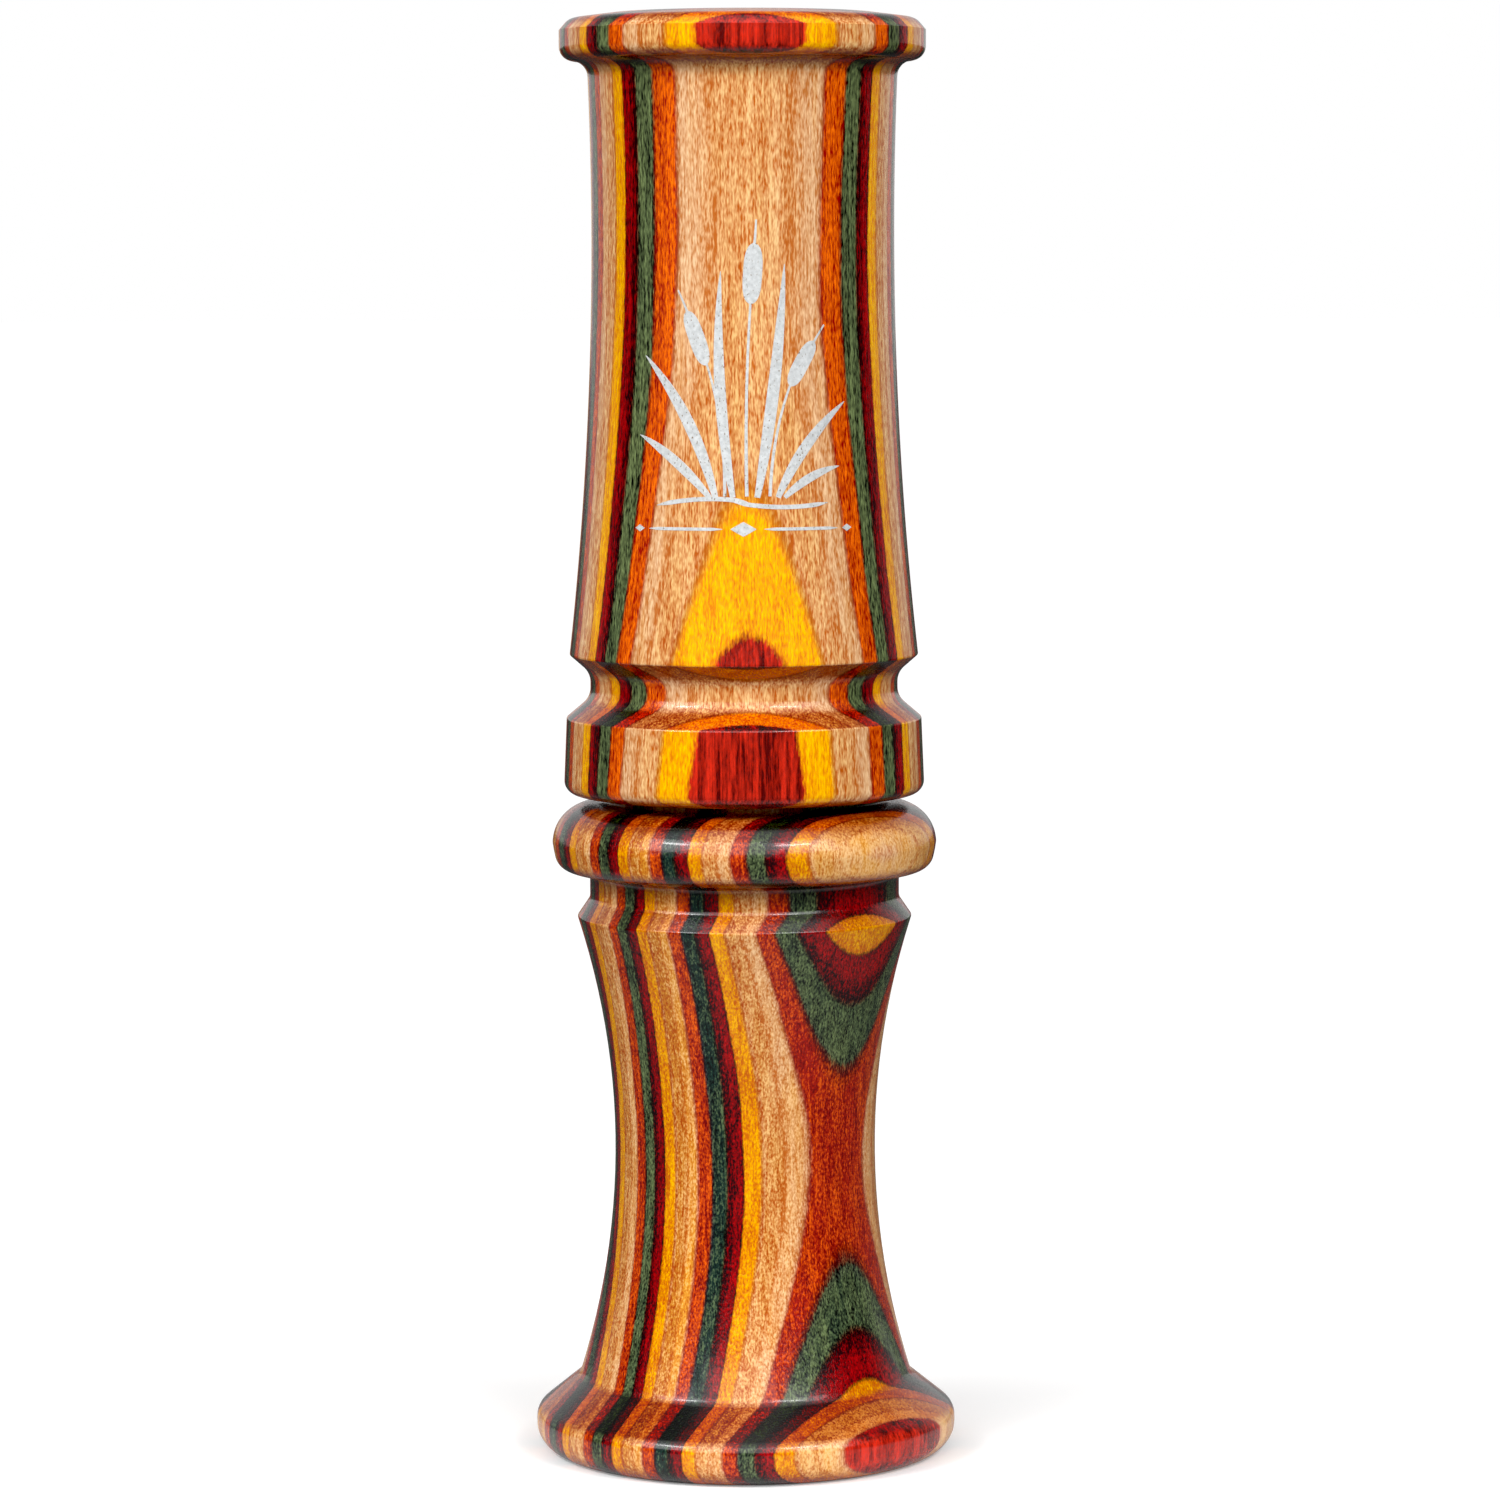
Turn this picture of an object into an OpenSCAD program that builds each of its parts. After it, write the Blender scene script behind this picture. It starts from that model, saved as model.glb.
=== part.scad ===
/* [Barrel] */
// Height of the barrel, from its seat on the insert to the mouth
barrel_length = 68.4; // [65:0.05:80]
// Radius of the flange round the mouth
flange_r = 16.05; // [15.6:0.05:17]
// Height of the flange
flange_height = 4.1; // [3.6:0.05:5.5]
// Height of the lip, from the crease on the flange to the mouth's top face
lip_height = 1.45; // [1.2:0.05:2]
// How far the lip leans in over its height, before it is rounded
lip_lean = 0.85; // [0.6:0.05:1.2]
// How far the lip's corner lies below the top face, before it is rounded
lip_fall = 0.45; // [0.3:0.05:0.6]
// Radius of the round on the lip's corner
lip_round = 1.4; // [0.8:0.1:1.6]
// Outer radius of the flat ring on top of the mouth
mouth_crown_r = 11.7; // [11:0.1:12.4]
// Radius of the round on that ring's outer edge
crown_round = 2.1; // [1:0.1:4]
// Radius of the round on the mouth's inner edge
mouth_round = 1.8; // [0.8:0.1:2.2]
// Radius of the round on the flange's lower edge
flange_foot_round = 1.25; // [0.4:0.05:1.4]
// Radius of the cove between the flange and the body
cove_round = 1.4; // [0.6:0.05:1.6]
// Radius of the body at its waist
body_waist_r = 13.28; // [13:0.02:13.8]
// Height of the body's waist above the barrel's seat
body_waist_height = 49.5; // [44:0.05:53]
// How much the body flares from its waist to its lower corner
body_flare = 2.1; // [1.2:0.05:2.4]
// Power of the body's flare curve: 2 is a parabola
body_flare_power = 2; // [1.7:0.05:2.3]
// Height of the end band, from the barrel's seat to its upper corner
band_height = 6.75; // [5.5:0.05:8]
// Radius of the end band at its upper corner
band_top_r = 15.67; // [15.2:0.01:16]
// Radius of the end band at its lower corner, before it is rounded
band_foot_r = 15.95; // [15.4:0.01:16.4]
// Radius of the small round on the band's upper corner
band_edge_round = 0.3; // [0.1:0.05:0.5]
// Radius of the round between the band and the barrel's lower end face
band_foot_round = 1.15; // [0.3:0.05:2]

/* [Lanyard groove in the barrel] */
// Height of the groove from corner to corner
groove_height = 5.55; // [5.3:0.05:6.4]
// Radius of the groove's floor
groove_floor_r = 13.56; // [13.2:0.02:14]
// Height of the groove's upper slope
groove_slope_height = 1.6; // [1.4:0.05:1.9]
// Height of the groove's lower slope
groove_foot_slope_height = 1.8; // [1.4:0.05:2]
// Radius of the rounds at the groove's floor
groove_round = 1.85; // [0.8:0.05:1.9]
// Radius of the small round on the body's lower corner
body_edge_round = 0.25; // [0.1:0.05:0.5]

/* [Barrel bores] */
// Radius of the mouth's bore, 5/8 inch across
mouth_bore_r = 7.94; // [7.7:0.01:8.5]
// Radius of the socket for the insert's tenon, 3/4 inch across
socket_r = 9.525; // [9.3:0.005:10]
// Free depth of the socket past the tenon's end
socket_end_gap = 1; // [0.4:0.1:2]
// Width of the chamfer at the socket's entry
socket_chamfer = 0.5; // [0.2:0.05:0.8]

/* [Insert outside] */
// Height of the insert's shown part, from the bell's rim to the barrel's seat
insert_height = 58.6; // [57:0.05:64]
// Height of the seat ring above the bead, which leaves a shadow gap under the barrel
seat_ring_height = 0.85; // [0.5:0.05:1.5]
// Radius of the seat ring
seat_ring_r = 12.55; // [11.5:0.05:12.7]
// Radius of the round between the seat ring and the bead
seat_ring_round = 0.4; // [0.1:0.05:0.4]
// Largest radius of the bead
bead_r = 16.97; // [16.6:0.01:17.6]
// Radius at which the bead's curve starts from the flat on its top
bead_top_r = 13.45; // [13.2:0.05:14.2]
// Height of the bead's widest place below its top
bead_crown_drop = 3.5; // [3:0.05:4]
// Radius of the bead's lower corner, before it is rounded
bead_foot_r = 16.55; // [16.2:0.05:16.6]
// Height of the bead from its top to its underside
bead_height = 5.8; // [5.6:0.05:7]
// Radius of the round on the bead's lower corner
bead_foot_round = 1.55; // [0.5:0.05:1.6]
// How far the bead's underside falls towards the neck
bead_underside_fall = 0.3; // [0:0.05:0.5]
// Radius of the neck below the bead
neck_r = 13.68; // [13.2:0.02:13.9]
// Height of the neck, from the bead's underside to the foot of its slope
neck_height = 2.25; // [1.8:0.05:3]
// Radius of the round between the bead and the neck
neck_round = 0.8; // [0.4:0.05:0.9]
// Radius of the round between the neck and the shoulder's slope
neck_foot_round = 0.85; // [0.5:0.05:1.4]
// Radius of the shoulder's corner
shoulder_r = 14.8; // [14.4:0.05:15.2]
// Height of the slope from the neck out to the shoulder
shoulder_rise = 1.65; // [1.2:0.05:2.4]
// Radius of the small round on the shoulder's corner
shoulder_round = 0.3; // [0.1:0.05:0.4]
// Radius of the insert's waist
waist_r = 11.54; // [11:0.02:12.2]
// Height of the waist above the bell's rim
waist_z = 27.25; // [25:0.25:30]

/* [Bell] */
// Largest radius of the bell
bell_r = 18.63; // [18:0.01:20]
// Height above the rim at which the waist's curve breaks into the bell
bell_break_z = 6.74; // [6.2:0.02:7.4]
// How far the bell stands out past that break
bell_flare_width = 3.89; // [3.4:0.01:4.4]
// Radius of the cove at the break
bell_break_round = 1.5; // [0.8:0.1:2.4]
// Height of the bell's widest corner, before it is rounded
bell_corner_z = 3.6; // [3.3:0.05:4]
// Radius of the round on the bell's upper corner
bell_corner_round = 1.55; // [0.8:0.05:1.8]
// Radius of the round on the bell's lower edge
bell_rim_round = 2.35; // [0.8:0.05:2.4]
// Width of the rim, from the bell's largest radius in to its mouth
bell_rim_width = 5.43; // [4.8:0.01:6.2]
// Radius of the round on the inner edge of the rim
bell_mouth_round = 0.8; // [0.3:0.05:1]
// Height of the flared part of the exhaust bore
exhaust_flare_height = 34; // [26:1:40]
// Power of the exhaust's flare curve
exhaust_flare_power = 1.8; // [1.5:0.05:2.2]
// Radius of the straight exhaust bore, 7/16 inch across
exhaust_r = 5.55; // [5:0.05:5.9]

/* [Tenon and seals] */
// Length of the tenon above the seat
tenon_length = 23.15; // [21.5:0.05:28]
// Radial clearance of the tenon in the socket
tenon_clearance = 0.08; // [0.04:0.01:0.12]
// Width of the chamfer at the tenon's end
tenon_chamfer = 0.6; // [0.3:0.05:0.8]
// Thickness of a seal as squeezed in the socket
seal_section = 1.6; // [1.4:0.05:1.8]
// Radial clearance of a seal to the socket and to its groove's floor
seal_clearance = 0.03; // [0.02:0.005:0.05]
// Free width on each side of a seal in its groove
seal_side_gap = 0.25; // [0.1:0.05:0.4]
// Height of the lower seal's middle above the seat
seal_lower_height = 5.65; // [4:0.05:8]
// Distance of the upper seal's middle below the tenon's end
seal_upper_drop = 5; // [3:0.1:7]

/* [Tone board] */
// Length of the tone board
board_length = 60; // [56:0.5:62]
// Radius of the bore that holds the tone board, 1/2 inch across
board_bore_r = 6.35; // [6.2:0.01:6.5]
// Depth of that bore below the tenon's end
board_bore_depth = 26.4; // [24:0.1:28]
// Radial clearance of the tone board and the wedge in that bore
board_clearance = 0.02; // [0.01:0.005:0.03]
// Distance of the flat reed bed in front of the axis
bed_offset = 1.2; // [1:0.05:1.5]
// How far the bed curves away from the reeds at the tip
lay_drop = 1.35; // [1:0.05:1.6]
// Width of the tone channel
channel_width = 4.4; // [4:0.1:5]
// Depth of the channel below the flat bed
channel_depth = 4.7; // [4.6:0.1:5.2]
// Solid length of the board between the channel and the tip
channel_setback = 6; // [5:0.1:8]
// Length of the ramp at the channel's tip end
channel_ramp = 7; // [5:0.1:10]
// Depth at which the channel reaches below the wedge's outer end
channel_overlap = 6; // [4:0.1:8]
// Width of the chamfer at the board's lower end
board_chamfer = 0.5; // [0.2:0.05:0.8]

/* [Reeds and wedge] */
// Width of both reeds
reed_width = 11.9; // [11:0.05:12]
// Thickness of the lower reed, 0.014 inch
lower_reed_thickness = 0.36; // [0.3:0.01:0.4]
// Thickness of the upper reed, 0.010 inch
upper_reed_thickness = 0.25; // [0.2:0.01:0.3]
// Distance of the lower reed's end from the board's tip
lower_reed_setback = 0.3; // [0.1:0.1:1]
// Distance of the upper reed's end from the board's tip
upper_reed_setback = 2.1; // [1.2:0.1:3]
// Width of the cut corners at the reeds' ends
reed_corner = 1.6; // [0.8:0.1:2.4]
// Length of the wedge and of the reeds' clamped stretch
wedge_length = 12; // [10:0.5:14]
// How far the wedge stands out of the tenon's end
wedge_proud = 1.6; // [1:0.1:2.5]
// Width of the chamfer on the wedge's inner end
wedge_chamfer = 0.8; // [0.4:0.1:1.2]

/* [Hidden] */
$fn = 96;

// Straight steps that a round corner and a long curve are drawn in
arc_steps = 6;
curve_steps = 24;
bead_steps = 10;
// Overrun of the cuts past the surface that they leave
cut_overrun = 1;

// Heights, from the bell's rim up
seat_z = insert_height;
tenon_top_z = seat_z + tenon_length;
socket_top_z = tenon_top_z + socket_end_gap;
barrel_top_z = seat_z + barrel_length;
board_foot_z = tenon_top_z - board_bore_depth;
board_tip_z = board_foot_z + board_length;
wedge_top_z = tenon_top_z + wedge_proud;
wedge_foot_z = wedge_top_z - wedge_length;

// Barrel: heights of the flange, the body's curve and the lanyard groove
lip_foot_z = barrel_top_z - lip_height;
flange_foot_z = barrel_top_z - flange_height;
cove_reach_share = 1.2;
body_top_z = flange_foot_z - cove_reach_share * cove_round;
body_waist_z = seat_z + body_waist_height;
band_top_z = seat_z + band_height;
body_foot_z = band_top_z + groove_height;
body_run = body_waist_z - body_foot_z;

// Insert: heights of the bead, the neck and the shoulder
bead_top_z = seat_z - seat_ring_height;
bead_crown_z = bead_top_z - bead_crown_drop;
bead_foot_z = bead_top_z - bead_height;
neck_top_z = bead_foot_z - bead_underside_fall;
neck_foot_z = neck_top_z - neck_height;
shoulder_z = neck_foot_z - shoulder_rise;
tenon_r = socket_r - tenon_clearance;
bell_break_r = bell_r - bell_flare_width;
bell_mouth_r = bell_r - bell_rim_width;
waist_lower_share = (bell_break_r - waist_r) / pow(waist_z - bell_break_z, 2);
waist_upper_share = (shoulder_r - waist_r) / pow(shoulder_z - waist_z, 2);
bell_curve_gap_share = 0.06;

// Seals: their middle radius, heights and grooves
seal_r = socket_r - seal_clearance - seal_section / 2;
seal_floor_r = socket_r - 2 * seal_clearance - seal_section;
seal_groove_height = seal_section + 2 * seal_side_gap;
seal_lower_z = seat_z + seal_lower_height;
seal_upper_z = tenon_top_z - seal_upper_drop;

// Tone board: its radius, and the faces of the bed and the reeds towards -Y
board_r = board_bore_r - board_clearance;
bed_y = -bed_offset;
channel_floor_y = bed_y + channel_depth;
channel_top_z = board_tip_z - channel_setback;
channel_foot_z = wedge_top_z - channel_overlap;
bore_y = channel_floor_y - channel_width / 2;
lower_reed_y = bed_y - lower_reed_thickness;
upper_reed_y = lower_reed_y - upper_reed_thickness;

// Direction of a vector, at length 1
function unit(v) = v / norm(v);

// Points of the arc that rounds the corner b between a and c, or b itself if its radius is 0
function corner(a, b, c, radius) = radius == 0 ? [b] :
    let (u = unit(a - b), v = unit(c - b), half = acos(u * v) / 2, turn = 180 - 2 * half,
         centre = b + unit(u + v) * radius / sin(half),
         first = b + u * radius / tan(half) - centre, last = b + v * radius / tan(half) - centre)
    [for (i = [0:arc_steps]) let (t = turn * i / arc_steps)
        centre + (first * sin(turn - t) + last * sin(t)) / sin(turn)];

// Closed outline of corners [radius, height, rounding], with each corner rounded by its arc
function rounded(corners) = let (n = len(corners), p = [for (c = corners) [c.x, c.y]])
    [for (i = [0:n - 1]) each corner(p[(i + n - 1) % n], p[i], p[(i + 1) % n], corners[i].z)];

// Unrounded corners along a curve radius(z), from height a to height b
function body_curve(a, b) = [for (i = [0:curve_steps]) let (z = a + (b - a) * i / curve_steps)
    [body_radius(z), z, 0]];
function waist_curve(a, b) = [for (i = [1:curve_steps]) let (z = a + (b - a) * i / curve_steps)
    [waist_radius(z), z, 0]];
function exhaust_curve() = [for (i = [1:curve_steps]) let (z = exhaust_flare_height * i / curve_steps)
    [exhaust_radius(z), z, 0]];

// Body's radius at height z: its waist plus a power of the distance from it
function body_radius(z) =
    body_waist_r + body_flare * pow(abs(z - body_waist_z) / body_run, body_flare_power);

// Insert's radius at height z: its waist plus a parabola, up to the shoulder and down to the bell
function waist_radius(z) =
    waist_r + (z > waist_z ? waist_upper_share : waist_lower_share) * pow(z - waist_z, 2);

// Exhaust bore's radius at height z: the straight bore plus a power of what is left of the flare
function exhaust_radius(z) = exhaust_r
    + (bell_mouth_r - exhaust_r) * pow(1 - z / exhaust_flare_height, exhaust_flare_power);

// Upper quarter of the bead: a quarter ellipse from its top out to its crown
function bead_curve() = [for (i = [1:bead_steps]) let (t = 90 * (1 - i / bead_steps))
    [bead_top_r + (bead_r - bead_top_r) * cos(t), bead_crown_z + bead_crown_drop * sin(t), 0]];

// Half outline of the barrel: mouth, flange, body, groove, band, seat, socket and bore
function barrel_outline() = rounded(concat(
    [[mouth_bore_r, barrel_top_z, mouth_round],
     [mouth_crown_r, barrel_top_z, crown_round],
     [flange_r - lip_lean, barrel_top_z - lip_fall, lip_round],
     [flange_r, lip_foot_z, 0],
     [flange_r, flange_foot_z, flange_foot_round],
     [body_radius(flange_foot_z), flange_foot_z, cove_round]],
    body_curve(body_top_z, body_foot_z + body_edge_round),
    [[body_radius(body_foot_z), body_foot_z, body_edge_round],
     [groove_floor_r, body_foot_z - groove_slope_height, groove_round],
     [groove_floor_r, band_top_z + groove_foot_slope_height, groove_round],
     [band_top_r, band_top_z, band_edge_round],
     [band_foot_r, seat_z, band_foot_round],
     [socket_r + socket_chamfer, seat_z, 0],
     [socket_r, seat_z + socket_chamfer, 0],
     [socket_r, socket_top_z, 0],
     [mouth_bore_r, socket_top_z, 0]]));

// Groove for a seal with its middle at height z, from its upper edge down
function seal_groove(z) = let (top = z + seal_groove_height / 2, foot = z - seal_groove_height / 2)
    [[tenon_r, top, 0], [seal_floor_r, top, 0], [seal_floor_r, foot, 0], [tenon_r, foot, 0]];

// Half outline of the insert: tenon, seat ring, bead, neck, waist, bell and the bores inside
function insert_outline() = rounded(concat(
    [[board_bore_r, tenon_top_z, 0],
     [tenon_r - tenon_chamfer, tenon_top_z, 0],
     [tenon_r, tenon_top_z - tenon_chamfer, 0]],
    seal_groove(seal_upper_z),
    seal_groove(seal_lower_z),
    [[tenon_r, seat_z, 0],
     [seat_ring_r, seat_z, 0],
     [seat_ring_r, bead_top_z, seat_ring_round],
     [bead_top_r, bead_top_z, 0]],
    bead_curve(),
    [[bead_foot_r, bead_foot_z, bead_foot_round],
     [neck_r, neck_top_z, neck_round],
     [neck_r, neck_foot_z, neck_foot_round],
     [shoulder_r, shoulder_z, shoulder_round]],
    waist_curve(shoulder_z, bell_break_z + bell_curve_gap_share * waist_z),
    [[bell_break_r, bell_break_z, bell_break_round],
     [bell_r, bell_corner_z, bell_corner_round],
     [bell_r, 0, bell_rim_round],
     [bell_mouth_r, 0, bell_mouth_round]],
    exhaust_curve(),
    [[exhaust_r, board_foot_z, 0],
     [board_bore_r, board_foot_z, 0]]));

// Side outline of what is cut off in front of the reed bed: flat under the wedge, then curving away
function bed_cut() = concat(
    [[-board_bore_r - cut_overrun, wedge_foot_z], [bed_y, wedge_foot_z]],
    [for (i = [0:curve_steps]) let (share = i / curve_steps)
        [bed_y + lay_drop * pow(share, 2), wedge_top_z + (board_tip_z - wedge_top_z) * share]],
    [[bed_y + lay_drop, board_tip_z + cut_overrun],
     [-board_bore_r - cut_overrun, board_tip_z + cut_overrun]]);

// Side outline of the tone channel, with its ramp up to the bed near the tip
function channel_cut() =
    [[bed_y - cut_overrun, channel_foot_z], [channel_floor_y, channel_foot_z],
     [channel_floor_y, channel_top_z - channel_ramp], [bed_y, channel_top_z],
     [bed_y - cut_overrun, channel_top_z]];

// Bar of a given width across X, whose side outline is given as [y, z] points
module across(width, side) {
    rotate([90, 0, 90]) linear_extrude(height = width, center = true) polygon(side);
}

// Reed strip from the wedge's foot up to tip_z, its back on the plane y = back_y
module reed(back_y, thickness, tip_z) {
    half = reed_width / 2;
    translate([0, back_y, 0]) rotate([90, 0, 0]) linear_extrude(height = thickness)
        polygon([[-half, wedge_foot_z], [half, wedge_foot_z], [half, tip_z - reed_corner],
                 [half - reed_corner, tip_z], [reed_corner - half, tip_z], [-half, tip_z - reed_corner]]);
}

// Seal ring with its middle at height z
module seal(z) {
    translate([0, 0, z]) rotate_extrude() translate([seal_r, 0]) circle(d = seal_section, $fn = 32);
}

module barrel() {
    color([0.72, 0.33, 0.16]) rotate_extrude() polygon(barrel_outline());
}

module insert() {
    color([0.62, 0.36, 0.14]) rotate_extrude() polygon(insert_outline());
}

// Round stub with the reed bed cut along it, the open channel and the bore down to the exhaust
module tone_board() {
    color([0.86, 0.80, 0.62]) difference() {
        union() {
            translate([0, 0, board_foot_z])
                cylinder(h = board_chamfer, r1 = board_r - board_chamfer, r2 = board_r);
            translate([0, 0, board_foot_z + board_chamfer])
                cylinder(h = board_length - board_chamfer, r = board_r);
        }
        across(2 * (board_r + cut_overrun), bed_cut());
        across(channel_width, channel_cut());
        translate([0, bore_y, board_foot_z - cut_overrun])
            cylinder(h = channel_foot_z - board_foot_z + channel_overlap, d = channel_width);
    }
}

module lower_reed() {
    color([0.93, 0.94, 0.92]) reed(bed_y, lower_reed_thickness, board_tip_z - lower_reed_setback);
}

module upper_reed() {
    color([0.88, 0.90, 0.90]) reed(lower_reed_y, upper_reed_thickness, board_tip_z - upper_reed_setback);
}

// Half-round cork that fills the bore in front of the reeds
module reed_wedge() {
    color([0.74, 0.56, 0.36]) difference() {
        union() {
            translate([0, 0, wedge_foot_z])
                cylinder(h = wedge_chamfer, r1 = board_r - wedge_chamfer, r2 = board_r);
            translate([0, 0, wedge_foot_z + wedge_chamfer])
                cylinder(h = wedge_length - wedge_chamfer, r = board_r);
        }
        translate([-board_bore_r, upper_reed_y, wedge_foot_z - cut_overrun])
            cube([2 * board_bore_r, 2 * board_bore_r, wedge_length + 2 * cut_overrun]);
    }
}

module tenon_ring_upper() {
    color([0.06, 0.06, 0.06]) seal(seal_upper_z);
}

module tenon_ring_lower() {
    color([0.06, 0.06, 0.06]) seal(seal_lower_z);
}

barrel();
insert();
tone_board();
lower_reed();
upper_reed();
reed_wedge();
tenon_ring_upper();
tenon_ring_lower();
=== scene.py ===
"""Looks of a turned duck call, whose barrel and insert are blocks of dyed, pressed plies.

Lengths are in metres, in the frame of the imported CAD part: +Z runs up the turned axis to the mouth,
and the reeds face -Y.
"""

import math
from collections import namedtuple

import bmesh
import bpy
import numpy as np
from mathutils import Matrix, Vector


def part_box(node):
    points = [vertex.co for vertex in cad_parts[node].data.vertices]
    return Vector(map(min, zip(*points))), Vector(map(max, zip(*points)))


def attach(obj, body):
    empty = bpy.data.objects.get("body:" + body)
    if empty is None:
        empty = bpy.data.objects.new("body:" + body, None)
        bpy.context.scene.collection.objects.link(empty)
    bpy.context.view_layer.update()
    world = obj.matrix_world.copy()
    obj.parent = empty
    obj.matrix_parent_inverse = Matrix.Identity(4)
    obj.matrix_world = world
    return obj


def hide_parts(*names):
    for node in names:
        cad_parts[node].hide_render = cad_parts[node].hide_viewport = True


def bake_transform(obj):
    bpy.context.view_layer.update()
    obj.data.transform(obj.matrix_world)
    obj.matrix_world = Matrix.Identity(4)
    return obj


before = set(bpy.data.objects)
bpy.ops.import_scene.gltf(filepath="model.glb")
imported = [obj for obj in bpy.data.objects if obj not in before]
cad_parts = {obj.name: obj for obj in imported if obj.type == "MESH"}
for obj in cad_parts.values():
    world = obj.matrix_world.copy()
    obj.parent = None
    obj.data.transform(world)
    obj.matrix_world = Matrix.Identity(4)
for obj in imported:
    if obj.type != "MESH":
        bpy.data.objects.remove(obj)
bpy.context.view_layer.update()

MM = 0.001

# Turned pieces: steps round the axis, the most that one step of an outline turns and the least
# turn of a corner that stays sharp, in degrees, and how close two points are that count as one
TURNED_STEPS = 256
OUTLINE_TURN, SHARP_TURN = 3.5, 24
MERGE_DISTANCE = 0.003 * MM

# A depth beyond every ply
BEYOND = 1.0

# Plies of the two pieces. The way across them is turned from -Y round the axis by "turn" degrees.
# It leans by "lean" and swings by "twist" with the height above "level". Along it, a cycle of dyes
# begins at "start", "cycle" is its length, "stretch" is how fast the plies thin out, and no ply
# starts past the depth "last". "soak" is how deeply the piece has taken up dye and varnish. Past
# the depth "painted_light" the plies are painted lighter, as painted light for the bead's right side,
# which catches more light. "fibres" is how many fibres fill a height, as a share of the grain's own
# number, and "seed" picks the tones of the single plies.
BARREL_PLIES = {
    "turn": 182.0, "lean": 0.005, "twist": -0.5, "level": 90 * MM,
    "start": -14.43 * MM, "cycle": 6.625 * MM, "stretch": 3.4, "last": BEYOND,
    "soak": 0.26, "painted_light": BEYOND, "fibres": 0.45, "seed": 26105,
}
INSERT_PLIES = {
    "turn": 46.5, "lean": 0.01, "twist": 0.0, "level": 28 * MM,
    "start": 1.29 * MM, "cycle": 6.775 * MM, "stretch": 2.6, "last": 18.2 * MM,
    "soak": 0.74, "painted_light": 15.33 * MM, "fibres": 1.0, "seed": 22895,
}

# Painted light on the plies past the depth "painted_light", where the bead's right side catches more
# light: how much less they are soaked, and how much lighter their fibres are painted
PAINTED_LIGHT_SOAK, PAINTED_LIGHT_FIBRE = 0.3, 0.3

# Dyes of one cycle, in order: the share of the cycle where each ply starts, how wide its start is,
# its dark and light fibres in screen values, and the tint that deep soaking gives it
Dye = namedtuple("Dye", "start edge dark light tint")
DYES = {
    "yellow": Dye(0.0, 0.012, (220, 126, 0), (255, 194, 0), (0.66, 0.44, 1.0)),
    "birch_tan": Dye(0.162, 0.02, (186, 92, 10), (240, 198, 138), (0.74, 0.5, 0.12)),
    "birch_cream": Dye(0.33, 0.06, (186, 114, 54), (238, 198, 154), (0.97, 0.7, 0.12)),
    "orange": Dye(0.478, 0.014, (152, 0, 0), (250, 116, 14), (0.46, 0.08, 1.0)),
    "green": Dye(0.644, 0.014, (0, 2, 0), (118, 134, 86), (0.06, 0.17, 0.34)),
    "crimson": Dye(0.819, 0.014, (34, 0, 4), (174, 8, 12), (0.8, 1.0, 1.0)),
}

# Where two plies meet: how dark the glue is beside the mean of their dyes, the widest start of a
# ply that still shows it, how far the dyes have run together on either side, and how much that
# darkens them
GLUE_SHADE, GLUE_EDGE = 0.8, 0.03
MARGIN, MARGIN_STRENGTH = 0.03, 0.35

# Darker first part of the crimson ply: the shares of the cycle past its start where the stain is
# full, where it begins to fade and where it ends, and its strength
STAIN_FULL, STAIN_FADE, STAIN_END = 0.012, 0.045, 0.09
STAIN_STRENGTH = 0.36

# Outermost plies, dyed scarlet: their dark and light streaks in screen values, how sharply they
# start, and on each piece the way they lie from the axis and how deep they start
SCARLET = ((78, 0, 0), (216, 44, 24))
SCARLET_EDGE = 0.05 * MM
BARREL_SCARLET = (-1.0, 15.16 * MM)
INSERT_SCARLET = (1.0, 17.3 * MM)

# Soaking: how much it varies from patch to patch and from ply to ply, how much a pore takes up and
# how much less a light fibre does, and how wide the start of each ply's tint is
PATCH_SOAK, PLY_SOAK = 0.5, 0.7
PORE_SOAK, FIBRE_LOSS = 1.3, 0.7
TINT_EDGE = 0.04

# End grain, which soaks up the most varnish, darkened further as painted shade on the slopes that
# face up or down, such as the bell's flare and the bead's top under the barrel: the power to which it
# deepens each dye, its tint, and how squarely the fibres are cut where it starts and where it is full
END_GRAIN_SHADE_POWER = 1.9
END_GRAIN_SHADE_TINT = (0.78, 0.7, 0.62, 1.0)
END_GRAIN_SHADE_CUT = (0.4, 0.76)

# Cells of noise per metre, across and along the fibres
FINE_CELLS = (6600, 6600, 3400)
STREAK_CELLS = (5600, 5600, 340)
BROAD_CELLS = (1500, 1500, 120)
MOTTLE_CELLS = (1900, 1900, 260)
PATCH_CELLS = (620, 620, 95)
WAVE_CELLS = (90, 90, 55)
FRAY_CELLS = (6000, 6000, 1400)

# Shares of fine, streak and mottle noise in the fibres, and of fine, streak and broad noise in the
# streaks, and the parts of these sums and of the patches that run from dark to light
FIBRE_SHARES, FIBRE_RANGE = (0.5, 0.28, 0.22), (0.382, 0.618)
STREAK_SHARES, STREAK_RANGE = (0.2, 0.4, 0.5), (0.43, 0.67)
PATCH_RANGE = (0.34, 0.66)

# How far the plies wave and how far their edges fray, either way
WAVE_REACH, FRAY_REACH = 0.25 * MM, 0.1 * MM

# Lacquered wood: roughness of its pores and of its fibres, depth of its grain, its shine, and the
# weight and roughness of the clear coat
PORE_ROUGHNESS, FIBRE_ROUGHNESS = 0.32, 0.22
GRAIN_DEPTH = 0.06 * MM
WOOD_SPECULAR = 0.2
COAT_WEIGHT, COAT_ROUGHNESS = 0.45, 0.12

# Plain finishes: the part of their noise that runs from dark to light, how much their roughness
# varies, and the noise below which a fleck starts and below which it is full, less its share
PLAIN_RANGE = (0.3, 0.7)
ROUGHNESS_SPREAD = 0.2
FLECK_START, FLECK_FULL = 0.3, 0.2

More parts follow.
